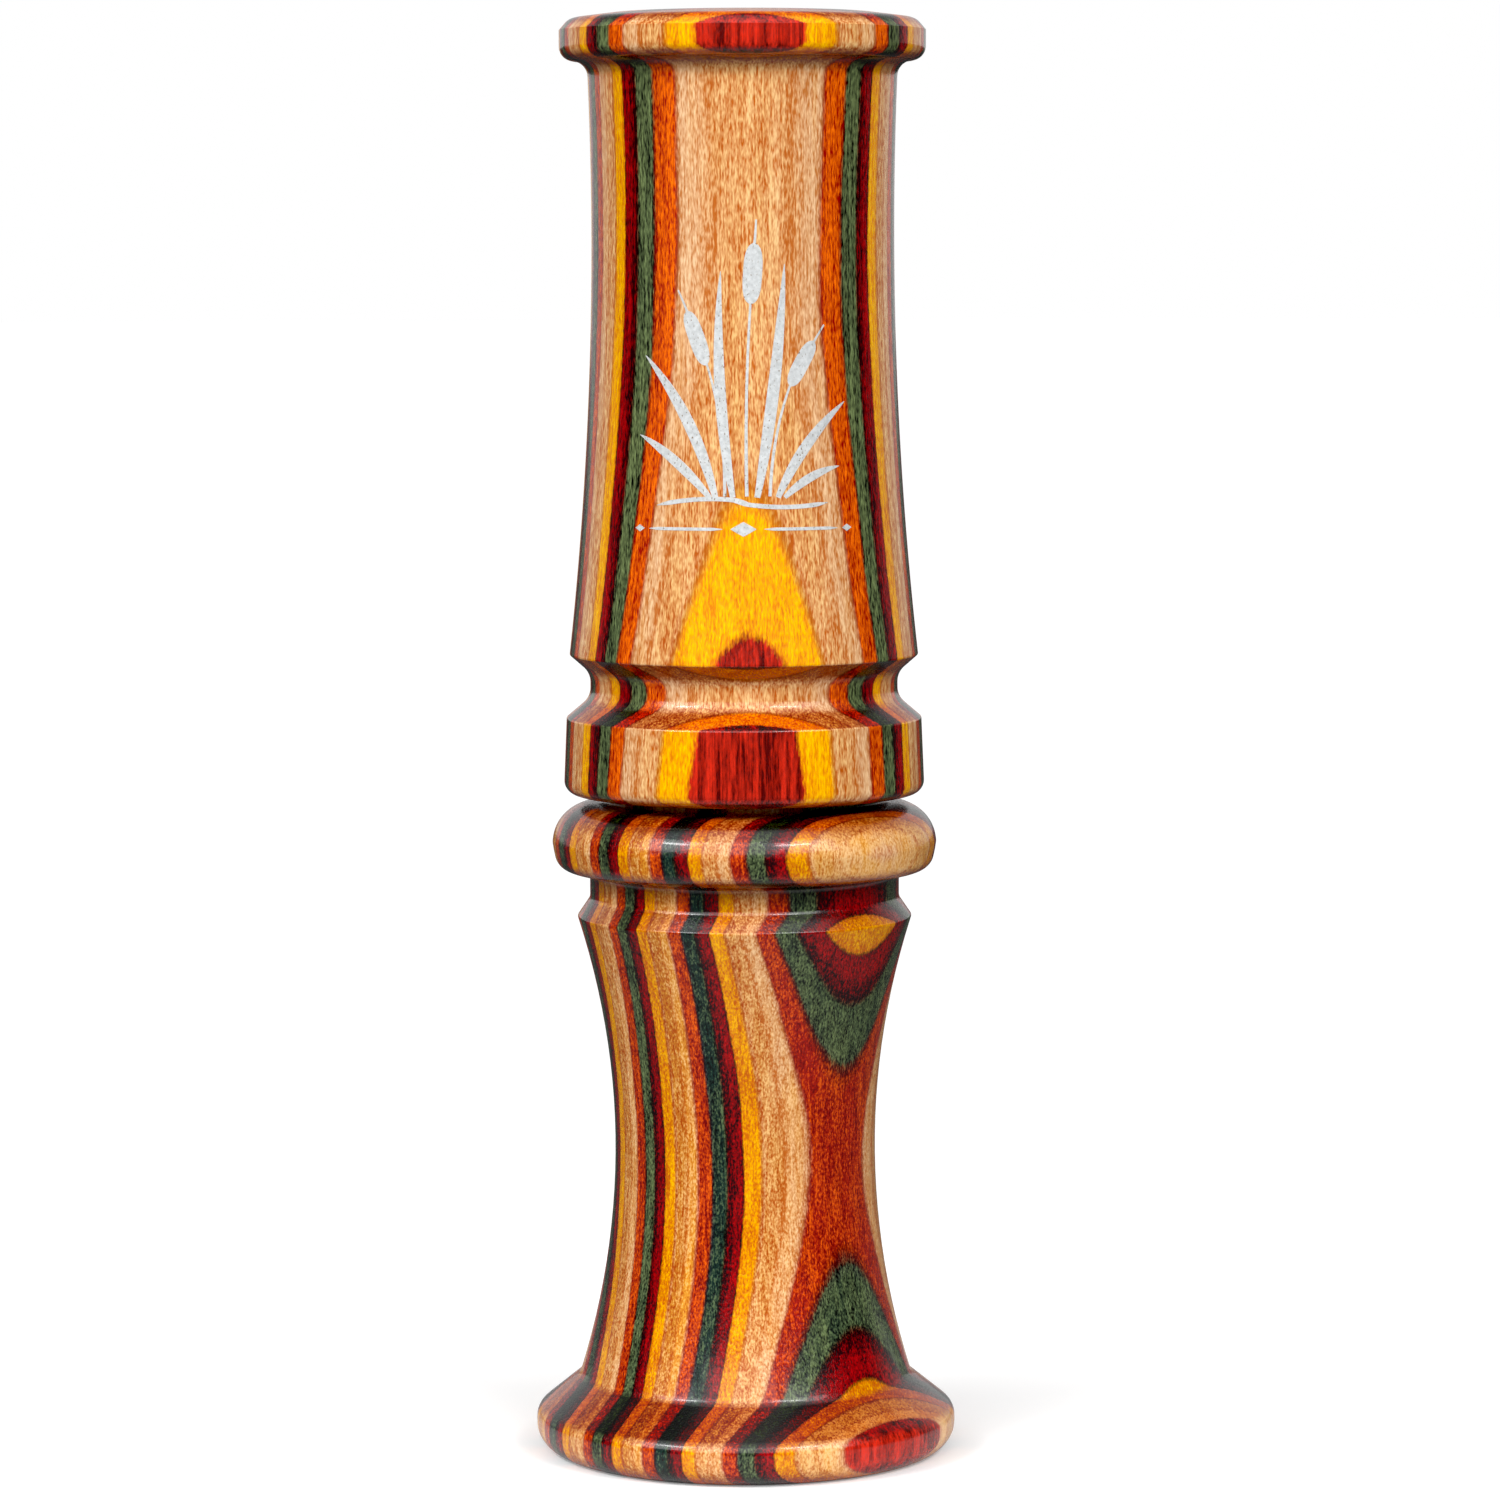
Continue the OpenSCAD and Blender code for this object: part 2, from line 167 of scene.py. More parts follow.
# Each plain finish: its dark and light colour in screen values, the sizes of its cells of noise
# along X, Y and Z, its roughness, the height of its bump, its flecks and other sockets of its
# shader
PRINT_INK = {
    "dark": (178, 181, 182), "light": (208, 211, 212), "sizes": (0.35 * MM,) * 3,
    "roughness": 0.42, "bump": 0.004 * MM,
    "flecks": ((0.16 * MM, 0.16 * MM, 0.3 * MM), 0.06, (120, 104, 84)),
}
SEAL_RUBBER = {
    "dark": (10, 10, 11), "light": (26, 26, 27), "sizes": (0.3 * MM,) * 3,
    "roughness": 0.5, "bump": 0.01 * MM,
}
CORK = {
    "dark": (150, 98, 56), "light": (212, 164, 112), "sizes": (0.9 * MM,) * 3,
    "roughness": 0.85, "bump": 0.12 * MM,
    "flecks": ((0.5 * MM, 0.5 * MM, 0.25 * MM), 0.12, (84, 50, 28)),
}
ACRYLIC = {
    "dark": (226, 204, 154), "light": (232, 211, 162), "sizes": (5 * MM,) * 3,
    "roughness": 0.18, "bump": 0.001 * MM, "Coat_Weight": 0.4,
}
REED_FILM = {
    "dark": (220, 224, 222), "light": (236, 239, 237), "sizes": (5 * MM, 5 * MM, 8 * MM),
    "roughness": 0.3, "bump": 0.001 * MM, "Transmission_Weight": 0.25,
}


def srgb(red, green, blue):
    """Linear colour with full alpha, from screen values of 0 to 255."""
    share = np.array([red, green, blue]) / 255
    linear = np.where(share <= 0.04045, share / 12.92, ((share + 0.055) / 1.055) ** 2.4)
    return (*linear.tolist(), 1.0)


# Meshes

def outline_of(node):
    """Half outline of a turned CAD node, as rows of [radius, height] in order round its section.

    Each point of the node's mesh is swung round the axis into one half plane, at radius
    sqrt(x^2 + y^2). A ring of the mesh falls on one point there, so the edges that are left once
    equal points are merged are the outline.
    """
    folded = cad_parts[node].data.copy()
    points = np.empty(len(folded.vertices) * 3, np.float32)
    folded.vertices.foreach_get("co", points)
    x, y, z = points.reshape(-1, 3).T
    folded.vertices.foreach_set("co", np.column_stack([np.hypot(x, y), 0 * z, z]).ravel())
    section = bmesh.new()
    section.from_mesh(folded)
    bpy.data.meshes.remove(folded)
    bmesh.ops.remove_doubles(section, verts=section.verts, dist=MERGE_DISTANCE)
    section.verts.ensure_lookup_table()
    before, here = None, section.verts[0]
    places = []
    while len(places) < len(section.verts):
        places.append([here.co.x, here.co.z])
        onward = [edge.other_vert(here) for edge in here.link_edges]
        before, here = here, onward[0] if onward[0] is not before else onward[1]
    section.free()
    places = np.array(places)
    nexts = np.roll(places, -1, axis=0)
    area = np.sum(places[:, 0] * nexts[:, 1] - nexts[:, 0] * places[:, 1])
    return places if area > 0 else places[::-1]


def smoothed(corners):
    """Outline with its flat steps turned back into arcs, and a mask of the points that stay sharp.

    At each corner that turns less than SHARP_TURN the outline gets one tangent: the mean of its two
    sides, weighted by their lengths. Each side then becomes the cubic curve p(t) between its ends
    that has those tangents, cut so finely that no step turns more than OUTLINE_TURN.
    """
    sides = np.roll(corners, -1, axis=0) - corners
    lengths = np.linalg.norm(sides, axis=1, keepdims=True)
    ways = sides / lengths
    ways_before = np.roll(ways, 1, axis=0)
    sharp = np.sum(ways * ways_before, axis=1) < math.cos(math.radians(SHARP_TURN))
    tangents = sides + np.roll(sides, 1, axis=0)
    tangents = tangents / np.linalg.norm(tangents, axis=1, keepdims=True)
    leaving = np.where(sharp[:, None], ways, tangents)
    arriving = np.roll(np.where(sharp[:, None], ways_before, tangents), -1, axis=0)
    turns = np.degrees(np.arccos(np.clip(np.sum(leaving * ways, axis=1), -1, 1))
                       + np.arccos(np.clip(np.sum(arriving * ways, axis=1), -1, 1)))
    steps = np.maximum(np.ceil(turns / OUTLINE_TURN).astype(int), 1)
    side = np.repeat(np.arange(len(corners)), steps)
    first = np.cumsum(steps) - steps
    t = ((np.arange(len(side)) - first[side]) / steps[side])[:, None]
    ends = np.roll(corners, -1, axis=0)
    points = (corners[side] * (2 * t ** 3 - 3 * t ** 2 + 1) + ends[side] * (3 * t ** 2 - 2 * t ** 3)
              + lengths[side] * (leaving[side] * (t ** 3 - 2 * t ** 2 + t)
                                 + arriving[side] * (t ** 3 - t ** 2)))
    return points, sharp[side] & (t[:, 0] == 0)


def piece_from(name, vertices, faces, material):
    """New smooth-shaded object of those vertices and faces, at the origin, with one material."""
    mesh = bpy.data.meshes.new(name)
    mesh.from_pydata(vertices.tolist(), [], faces.tolist())
    mesh.polygons.foreach_set("use_smooth", np.ones(len(mesh.polygons), bool))
    mesh.materials.append(material)
    mesh.update()
    piece = bpy.data.objects.new(name, mesh)
    bpy.context.scene.collection.objects.link(piece)
    return piece


def turned(name, outline, sharp, material):
    """Closed outline [r, z] turned round the axis: x = r cos(a), y = r sin(a), z = z.

    Rings on a sharp point of the outline are marked as sharp edges. The attribute end_grain holds
    how squarely the surface cuts the fibres, which run along Z: |dr| / sqrt(dr^2 + dz^2) from the
    point before to the point after.
    """
    rows, columns = len(outline), TURNED_STEPS
    angle = np.arange(columns) * 2 * math.pi / columns
    radius, height = outline[:, :1], outline[:, 1:]
    vertices = np.stack([radius * np.cos(angle), radius * np.sin(angle), height + 0 * angle],
                        axis=-1)
    row, column = np.meshgrid(np.arange(rows), np.arange(columns), indexing="ij")
    above, beside = (row + 1) % rows, (column + 1) % columns
    faces = np.stack([row * columns + column, row * columns + beside,
                      above * columns + beside, above * columns + column], axis=-1)
    piece = piece_from(name, vertices.reshape(-1, 3), faces.reshape(-1, 4), material)
    mark_sharp_rings(piece.data, sharp, columns)
    run = np.roll(outline, -1, axis=0) - np.roll(outline, 1, axis=0)
    square = np.repeat(np.abs(run[:, 0]) / np.linalg.norm(run, axis=1), columns)
    piece.data.attributes.new("end_grain", "FLOAT", "POINT").data.foreach_set("value", square)
    return piece


def mark_sharp_rings(mesh, sharp, columns):
    """Marks as sharp each edge whose two ends lie on the same sharp row of a turned mesh."""
    ends = np.empty(len(mesh.edges) * 2, np.int32)
    mesh.edges.foreach_get("vertices", ends)
    rows = ends.reshape(-1, 2) // columns
    marks = (rows[:, 0] == rows[:, 1]) & sharp[rows[:, 0]]
    mesh.attributes.new("sharp_edge", "BOOLEAN", "EDGE").data.foreach_set("value", marks)


def shells(name, fronts, backs, material):
    """Closed shells, each between a front and a back grid of one shape, joined along their rims.

    Seen from the front, the rows of a grid run up and its columns to the right.
    """
    rows, columns = fronts[0].shape[:2]
    index = np.arange(rows * columns).reshape(rows, columns)
    quads = np.stack([index[:-1, :-1], index[:-1, 1:], index[1:, 1:], index[1:, :-1]], axis=-1)
    quads = quads.reshape(-1, 4)
    rim = np.concatenate([index[0, :-1], index[:-1, -1], index[-1, :0:-1], index[:0:-1, 0]])
    onward = np.roll(rim, -1)
    to_back = rows * columns
    walls = np.column_stack([onward, rim, rim + to_back, onward + to_back])
    faces = np.concatenate([quads, quads[:, ::-1] + to_back, walls])
    faces = np.concatenate([faces + 2 * to_back * rank for rank in range(len(fronts))])
    vertices = np.concatenate([grid.reshape(-1, 3) for pair in zip(fronts, backs) for grid in pair])
    piece = piece_from(name, vertices, faces, material)
    piece.data.set_sharp_from_angle(angle=math.radians(SHARP_TURN))
    return piece


# Materials

def linked(tree, kind, inputs, **settings):
    """New node with its settings, whose inputs are given as values or as sockets to link."""
    node = tree.nodes.new(kind)
    for name, value in settings.items():
        setattr(node, name, value)
    for key, value in inputs.items():
        if isinstance(value, bpy.types.NodeSocket):
            tree.links.new(value, node.inputs[key])
        else:
            node.inputs[key].default_value = value
    return node


def maths(tree, operation, *values, clamp=False):
    """Result of a Math node."""
    return linked(tree, "ShaderNodeMath", dict(enumerate(values)), operation=operation,
                  use_clamp=clamp).outputs[0]


def weighted(tree, values, shares):
    """Sum of the values, each times its share."""
    total = maths(tree, "MULTIPLY", values[-1], shares[-1])
    for value, share in zip(values[-2::-1], shares[-2::-1]):
        total = maths(tree, "MULTIPLY_ADD", value, share, total)
    return total


def noise(tree, vector, cells, detail=2.0, roughness=0.5):
    """Noise of about 0 to 1 with that many cells per metre along each axis."""
    scaled = linked(tree, "ShaderNodeVectorMath", {0: vector, 1: cells}, operation="MULTIPLY")
    settings = {"Vector": scaled.outputs[0], "Scale": 1.0, "Detail": detail, "Roughness": roughness}
    return linked(tree, "ShaderNodeTexNoise", settings).outputs["Fac"]


def shifting(tree, vector, cells, reach, detail=2.0):
    """Noise of those cells as a length that runs from minus its reach to plus its reach."""
    return maths(tree, "MULTIPLY_ADD", noise(tree, vector, cells, detail), 2 * reach, -reach)


def between(tree, value, low, high, new_low=0.0, new_high=1.0):
    """Value mapped from one range to another and kept inside it."""
    return linked(tree, "ShaderNodeMapRange",
                  {"Value": value, "From Min": low, "From Max": high, "To Min": new_low,
                   "To Max": new_high}).outputs[0]


def mixed(tree, share, first, second, blend="MIX"):
    """Colour that goes from the first to the second as share goes from 0 to 1."""
    node = tree.nodes.new("ShaderNodeMix")
    node.data_type, node.blend_type = "RGBA", blend
    share_socket, first_socket, second_socket = node.inputs[0], node.inputs[6], node.inputs[7]
    for socket, value in ((share_socket, share), (first_socket, first), (second_socket, second)):
        if isinstance(value, bpy.types.NodeSocket):
            tree.links.new(value, socket)
        else:
            socket.default_value = value
    return node.outputs[2]


def banded(tree, share, bands):
    """Colour of the band that share falls in, for bands (start, edge, colour) in rising order.

    A band fades in over its edge on both sides of its start. Where the edge is thin, a dark line of
    glue lies in the middle of it. The last band ends at 1, where the first begins again.
    """
    stops = [(bands[0][0], bands[0][2])]
    for (_, _, before), (start, edge, after) in zip(bands, bands[1:] + [(1.0, *bands[0][1:])]):
        glue = [(a + b) / 2 * GLUE_SHADE for a, b in zip(before, after)]
        stops += [(start - edge, before)] + [(start, glue)] * (edge < GLUE_EDGE)
        stops += [(start + edge, after)]
    return ramp(tree, share, [stop for stop in stops if stop[0] <= 1.0])


def ramp(tree, share, stops):
    """Colour that runs through the stops (place, colour) as share goes from 0 to 1."""
    node = linked(tree, "ShaderNodeValToRGB", {"Fac": share})
    elements = node.color_ramp.elements
    while len(elements) < len(stops):
        elements.new(1.0)
    for element, (place, colour) in zip(elements, stops):
        element.position = place
        element.color = (*colour[:3], 1.0)
    return node.outputs["Color"]


def near_starts(tree, share, starts):
    """1 at the starts of the plies, where dyes have run together, and 0 a MARGIN away from them."""
    stops = [(0.0, (1.0,) * 3), (MARGIN, (0.0,) * 3)]
    for start in starts[1:] + [1.0]:
        stops += [(start - MARGIN, (0.0,) * 3), (start, (1.0,) * 3), (start + MARGIN, (0.0,) * 3)]
    return ramp(tree, share, [stop for stop in stops if stop[0] <= 1.0])


def new_group(name, inputs, outputs):
    """Empty node group with those sockets, as its tree, its input sockets and its output node."""
    tree = bpy.data.node_groups.new(name, "ShaderNodeTree")
    for socket, kind in inputs.items():
        tree.interface.new_socket(socket, in_out="INPUT", socket_type="NodeSocket" + kind)
    for socket, kind in outputs.items():
        tree.interface.new_socket(socket, in_out="OUTPUT", socket_type="NodeSocket" + kind)
    return tree, tree.nodes.new("NodeGroupInput").outputs, tree.nodes.new("NodeGroupOutput")


def wood_grain_group():
    """Grain along Z: Fibre, from dark pores to light fibres, long Streak, wide Patch, and Height.

    Height is a sum of fine, streak and mottle noise, and Fibre is the same sum from dark to light.
    Streak is a sum of fine, streak and broad noise, also from dark to light.
    """
    tree, given, out = new_group(
        "wood_grain", {"Position": "Vector"},
        {"Fibre": "Float", "Streak": "Float", "Patch": "Float", "Height": "Float"})
    place = given["Position"]
    fine = noise(tree, place, FINE_CELLS, detail=1.0)
    streak = noise(tree, place, STREAK_CELLS)
    broad = noise(tree, place, BROAD_CELLS)
    mottle = noise(tree, place, MOTTLE_CELLS)
    patch = noise(tree, place, PATCH_CELLS, detail=3.0, roughness=0.6)
    height = weighted(tree, (fine, streak, mottle), FIBRE_SHARES)
    stripes = weighted(tree, (fine, streak, broad), STREAK_SHARES)
    tree.links.new(between(tree, height, *FIBRE_RANGE), out.inputs["Fibre"])
    tree.links.new(between(tree, stripes, *STREAK_RANGE), out.inputs["Streak"])
    tree.links.new(between(tree, patch, *PATCH_RANGE), out.inputs["Patch"])
    tree.links.new(height, out.inputs["Height"])
    return tree


def depth_across(tree, given, parts):
    """Depth across the plies: (x, y, rise) . Across + x rise Twist + a slow wave + a fine fray.

    Rise is the height above Level. The depth is kept from going past Last.
    """
    rise = maths(tree, "SUBTRACT", parts["Z"], given["Level"])
    raised = linked(tree, "ShaderNodeCombineXYZ", {0: parts["X"], 1: parts["Y"], 2: rise})
    straight = linked(tree, "ShaderNodeVectorMath", {0: raised.outputs[0], 1: given["Across"]},
                      operation="DOT_PRODUCT").outputs["Value"]
    swing = maths(tree, "MULTIPLY", maths(tree, "MULTIPLY", parts["X"], rise), given["Twist"])
    wave = shifting(tree, given["Position"], WAVE_CELLS, WAVE_REACH, detail=1.0)
    fray = shifting(tree, given["Position"], FRAY_CELLS, FRAY_REACH)
    free = maths(tree, "ADD", maths(tree, "ADD", straight, swing), maths(tree, "ADD", wave, fray))
    return maths(tree, "MINIMUM", free, given["Last"])


def cycle_share(tree, given, depth, starts):
    """Share of the cycle of dyes at a depth d, and the random tone of the ply there, from 0 to 1.

    The cycles repeat in d + Stretch d^2, so the plies thin out as d grows.
    """
    squared = maths(tree, "MULTIPLY", maths(tree, "MULTIPLY", depth, depth), given["Stretch"])
    from_start = maths(tree, "SUBTRACT", maths(tree, "ADD", depth, squared), given["Start"])
    cycles = maths(tree, "DIVIDE", from_start, given["Cycle"])
    share = maths(tree, "FRACT", cycles)
    rank = maths(tree, "MULTIPLY", maths(tree, "FLOOR", cycles), len(starts))
    for start in starts[1:]:
        rank = maths(tree, "ADD", rank, maths(tree, "GREATER_THAN", share, start))
    seeded = maths(tree, "ADD", rank, given["Seed"])
    own = linked(tree, "ShaderNodeTexWhiteNoise", {"W": seeded}, noise_dimensions="1D")
    return share, own.outputs["Value"]


def darkened(tree, share, starts):
    """How much the fibres are darkened at a share of the cycle, by the margins and by the stain."""
    start = DYES["crimson"].start
    stain = ramp(tree, share, [(start, (0.0,) * 3), (start + STAIN_FULL, (1.0,) * 3),
                               (start + STAIN_FADE, (1.0,) * 3), (start + STAIN_END, (0.0,) * 3)])
    return maths(tree, "MULTIPLY_ADD", near_starts(tree, share, starts), MARGIN_STRENGTH,
                 maths(tree, "MULTIPLY", stain, STAIN_STRENGTH))


def soaking(tree, given, wood, own, painted_light):
    """How deeply a point is soaked, by piece, by patch and by ply, more in a pore, and less where
    light is painted on.
    """
    patch = maths(tree, "SUBTRACT", wood["Patch"], 0.5)
    tone = maths(tree, "SUBTRACT", own, 0.5)
    level = maths(tree, "MULTIPLY_ADD", painted_light, -PAINTED_LIGHT_SOAK, given["Soak"])
    spread = maths(tree, "MULTIPLY_ADD", patch, PATCH_SOAK,
                   maths(tree, "MULTIPLY_ADD", tone, PLY_SOAK, level))
    pores = maths(tree, "MULTIPLY_ADD", wood["Fibre"], -FIBRE_LOSS, PORE_SOAK)
    return maths(tree, "MULTIPLY", spread, pores, clamp=True)


def dyed_plies_group(grain):
    """Plies pressed into one block, cut anywhere: their Color, Streak, Height, Roughness and Depth.

    A ply's colour runs from its dark to its light fibres, painted lighter past the depth
    Painted_light as painted light, darker where it is stained or has run together with the next, and
    is soaked towards its tint.
    """
    tree, given, out = new_group(
        "dyed_plies",
        {"Position": "Vector", "Across": "Vector", "Twist": "Float", "Level": "Float",
         "Start": "Float", "Cycle": "Float", "Stretch": "Float", "Last": "Float", "Soak": "Float",
         "Painted_light": "Float", "Fibres": "Float", "Seed": "Float"},
        {"Color": "Color", "Streak": "Float", "Height": "Float", "Roughness": "Float",
         "Depth": "Float"})
    parts = linked(tree, "ShaderNodeSeparateXYZ", {0: given["Position"]}).outputs
    stretched = maths(tree, "MULTIPLY", parts["Z"], given["Fibres"])
    along = linked(tree, "ShaderNodeCombineXYZ", {0: parts["X"], 1: parts["Y"], 2: stretched})
    wood = linked(tree, "ShaderNodeGroup", {}, node_tree=grain)
    tree.links.new(along.outputs[0], wood.inputs["Position"])
    fibre = wood.outputs["Fibre"]

    starts = [dye.start for dye in DYES.values()]
    depth = depth_across(tree, given, parts)
    share, own = cycle_share(tree, given, depth, starts)
    # Painted light: past this depth the plies are painted lighter and less soaked, for the better-lit
    # side
    painted_light = maths(tree, "GREATER_THAN", depth, given["Painted_light"])
    lightness = maths(tree, "SUBTRACT", maths(tree, "MULTIPLY_ADD", painted_light, PAINTED_LIGHT_FIBRE, fibre),
                      darkened(tree, share, starts), clamp=True)
    dark = banded(tree, share, [(dye.start, dye.edge, srgb(*dye.dark)) for dye in DYES.values()])
    light = banded(tree, share, [(dye.start, dye.edge, srgb(*dye.light)) for dye in DYES.values()])
    tint = banded(tree, share, [(dye.start, TINT_EDGE, dye.tint) for dye in DYES.values()])
    dyed = mixed(tree, lightness, dark, light)
    soaked = mixed(tree, soaking(tree, given, wood.outputs, own, painted_light), dyed,
                   mixed(tree, 1.0, dyed, tint, blend="MULTIPLY"))

    tree.links.new(soaked, out.inputs["Color"])
    tree.links.new(wood.outputs["Streak"], out.inputs["Streak"])
    tree.links.new(wood.outputs["Height"], out.inputs["Height"])
    tree.links.new(between(tree, fibre, 0.0, 1.0, PORE_ROUGHNESS, FIBRE_ROUGHNESS),
                   out.inputs["Roughness"])
    tree.links.new(depth, out.inputs["Depth"])
    return tree


def new_material(name):
    """Material with its node tree, its Principled shader and the object's own coordinates."""
    material = bpy.data.materials.new(name)
    material.use_nodes = True
    tree = material.node_tree
    place = tree.nodes.new("ShaderNodeTexCoord").outputs["Object"]
    return material, tree, tree.nodes["Principled BSDF"], place


def roughened(tree, shader, height, depth):
    """Feeds the shader's normal from a bump of that height."""
    bump = linked(tree, "ShaderNodeBump", {"Height": height, "Distance": depth, "Strength": 1.0})
    tree.links.new(bump.outputs["Normal"], shader.inputs["Normal"])


def plywood_material(name, group, plies, scarlet):
    """Lacquered block of dyed plies, whose outermost plies one way are dyed scarlet."""
    material, tree, shader, place = new_material(name)
    wood = linked(tree, "ShaderNodeGroup", {}, node_tree=group)
    tree.links.new(place, wood.inputs["Position"])
    turn = math.radians(plies["turn"])
    wood.inputs["Across"].default_value = (math.sin(turn), -math.cos(turn), plies["lean"])
    for name, value in plies.items():
        if name not in ("turn", "lean"):
            wood.inputs[name.capitalize()].default_value = value
    way, start = scarlet
    outward = maths(tree, "MULTIPLY", wood.outputs["Depth"], way)
    streaks = mixed(tree, wood.outputs["Streak"], srgb(*SCARLET[0]), srgb(*SCARLET[1]))
    colour = mixed(tree, between(tree, outward, start - SCARLET_EDGE, start + SCARLET_EDGE),
                   wood.outputs["Color"], streaks)
    # Where the surface cuts the fibres squarely: the real deeper soak of end grain, and painted shade
    # on the bell's flare and the bead's top
    cut = linked(tree, "ShaderNodeAttribute", {}, attribute_name="end_grain").outputs["Fac"]
    deepened_and_shaded = linked(tree, "ShaderNodeGamma", {"Color": colour, "Gamma": END_GRAIN_SHADE_POWER})
    colour = mixed(tree, between(tree, cut, *END_GRAIN_SHADE_CUT), colour,
                   mixed(tree, 1.0, deepened_and_shaded.outputs[0], END_GRAIN_SHADE_TINT, blend="MULTIPLY"))
    tree.links.new(colour, shader.inputs["Base Color"])
    tree.links.new(wood.outputs["Roughness"], shader.inputs["Roughness"])
    shader.inputs["Specular IOR Level"].default_value = WOOD_SPECULAR
    shader.inputs["Coat Weight"].default_value = COAT_WEIGHT
    shader.inputs["Coat Roughness"].default_value = COAT_ROUGHNESS
    roughened(tree, shader, wood.outputs["Height"], GRAIN_DEPTH)
    return material


def plain_material(name, dark, light, sizes, roughness, bump, flecks=None, **sockets):
    """Finish whose colour and surface vary with noise whose cells have the given sizes.

    Flecks are (sizes, share, colour): spots of a colour, and more of them the larger the share.
    """
    material, tree, shader, place = new_material(name)
    grain = noise(tree, place, tuple(1 / size for size in sizes), detail=4.0)
    colour = mixed(tree, between(tree, grain, *PLAIN_RANGE), srgb(*dark), srgb(*light))
    if flecks:
        fleck_sizes, share, fleck_colour = flecks
        spots = noise(tree, place, tuple(1 / size for size in fleck_sizes), detail=1.0)
        fleck = between(tree, spots, FLECK_START + share, FLECK_FULL + share)
        colour = mixed(tree, fleck, colour, srgb(*fleck_colour))
    tree.links.new(colour, shader.inputs["Base Color"])
    smoothest, roughest = roughness * (1 - ROUGHNESS_SPREAD), roughness * (1 + ROUGHNESS_SPREAD)
    tree.links.new(between(tree, grain, 0.0, 1.0, smoothest, roughest), shader.inputs["Roughness"])
    for socket, value in sockets.items():
        shader.inputs[socket.replace("_", " ")].default_value = value
    roughened(tree, shader, grain, bump)
    return material


# Print on the barrel: how far its shells reach into the wood, how far they stand out of it and how
# much further each stroke does than the one before, the radius past which the outline counts as
# the barrel's outside, as a share of its largest, and the points along a stroke
PRINT_BACK = 0.03 * MM
PRINT_PROUD, PRINT_STEP = 0.012 * MM, 0.0006 * MM
OUTSIDE_SHARE = 0.8
STROKE_ROWS = 28

# Strokes from a start past a bend to an end, as millimetres round the barrel and up from the
# bell's rim, with their half width in millimetres and their form
STROKES = (
    ((-1.6, 85.4), (-1.5, 92.0), (-3.3, 97.2), 0.14, "line"),
    ((0.3, 85.4), (0.1, 94.0), (0.7, 102.6), 0.15, "line"),
    ((2.3, 85.4), (2.5, 91.0), (4.3, 95.4), 0.14, "line"),
    ((-3.2, 96.6), (-4.0, 99.0), (-4.9, 101.2), 0.72, "head"),
    ((0.66, 101.8), (0.85, 104.4), (1.0, 107.0), 0.82, "head"),
    ((4.1, 94.8), (5.1, 96.8), (6.3, 98.6), 0.7, "head"),
    ((-4.8, 101.0), (-5.2, 102.0), (-5.7, 103.0), 0.11, "line"),
    ((1.0, 106.8), (1.1, 107.8), (1.15, 109.0), 0.12, "line"),
    ((6.2, 98.4), (6.7, 99.2), (7.3, 100.0), 0.11, "line"),
    ((-2.4, 85.3), (-4.4, 93.0), (-9.0, 97.4), 0.5, "blade"),
    ((-0.9, 85.3), (-2.6, 95.0), (-1.9, 104.6), 0.46, "blade"),
    ((-2.9, 85.3), (-6.0, 89.0), (-9.6, 90.6), 0.42, "blade"),
    ((1.2, 85.3), (3.0, 95.0), (3.6, 105.2), 0.5, "blade"),
    ((3.0, 85.3), (5.2, 90.4), (9.4, 93.4), 0.46, "blade"),
    ((3.6, 85.3), (5.8, 87.4), (8.8, 87.9), 0.36, "blade"),
    ((-7.8, 84.6), (-3.0, 85.6), (0.4, 84.9), 0.17, "rule"),
    ((-0.8, 84.9), (3.4, 84.1), (7.6, 84.8), 0.17, "rule"),
    ((-8.6, 82.6), (-5.2, 82.6), (-1.8, 82.6), 0.12, "rule"),
    ((1.8, 82.6), (5.2, 82.6), (8.6, 82.6), 0.12, "rule"),
    ((-1.1, 82.6), (0.0, 82.6), (1.1, 82.6), 0.62, "diamond"),
    ((-10.1, 82.6), (-9.6, 82.6), (-9.1, 82.6), 0.3, "diamond"),
    ((9.1, 82.6), (9.6, 82.6), (10.1, 82.6), 0.3, "diamond"),
)

# Share of its half width that a stroke of each form has at t, which runs from 0 to 1 along it. A
# line narrows towards its end, a head is oblong and rounded, a blade is widest below its middle
# and pointed at its tip, a rule is pointed at both ends, and a diamond is widest in its middle.
FORMS = {
    "line": lambda t: 1 - 0.35 * t,
    "head": lambda t: np.sqrt(np.clip(1 - np.abs(2 * t - 1) ** 3.2, 0.02, 1)),
    "blade": lambda t: 0.05 + np.sin(math.pi * (0.12 + 0.88 * t)) ** 0.8,
    "rule": lambda t: 0.12 + np.minimum(1, 9 * t * (1 - t)),
    "diamond": lambda t: 0.03 + 1 - np.abs(2 * t - 1),
}


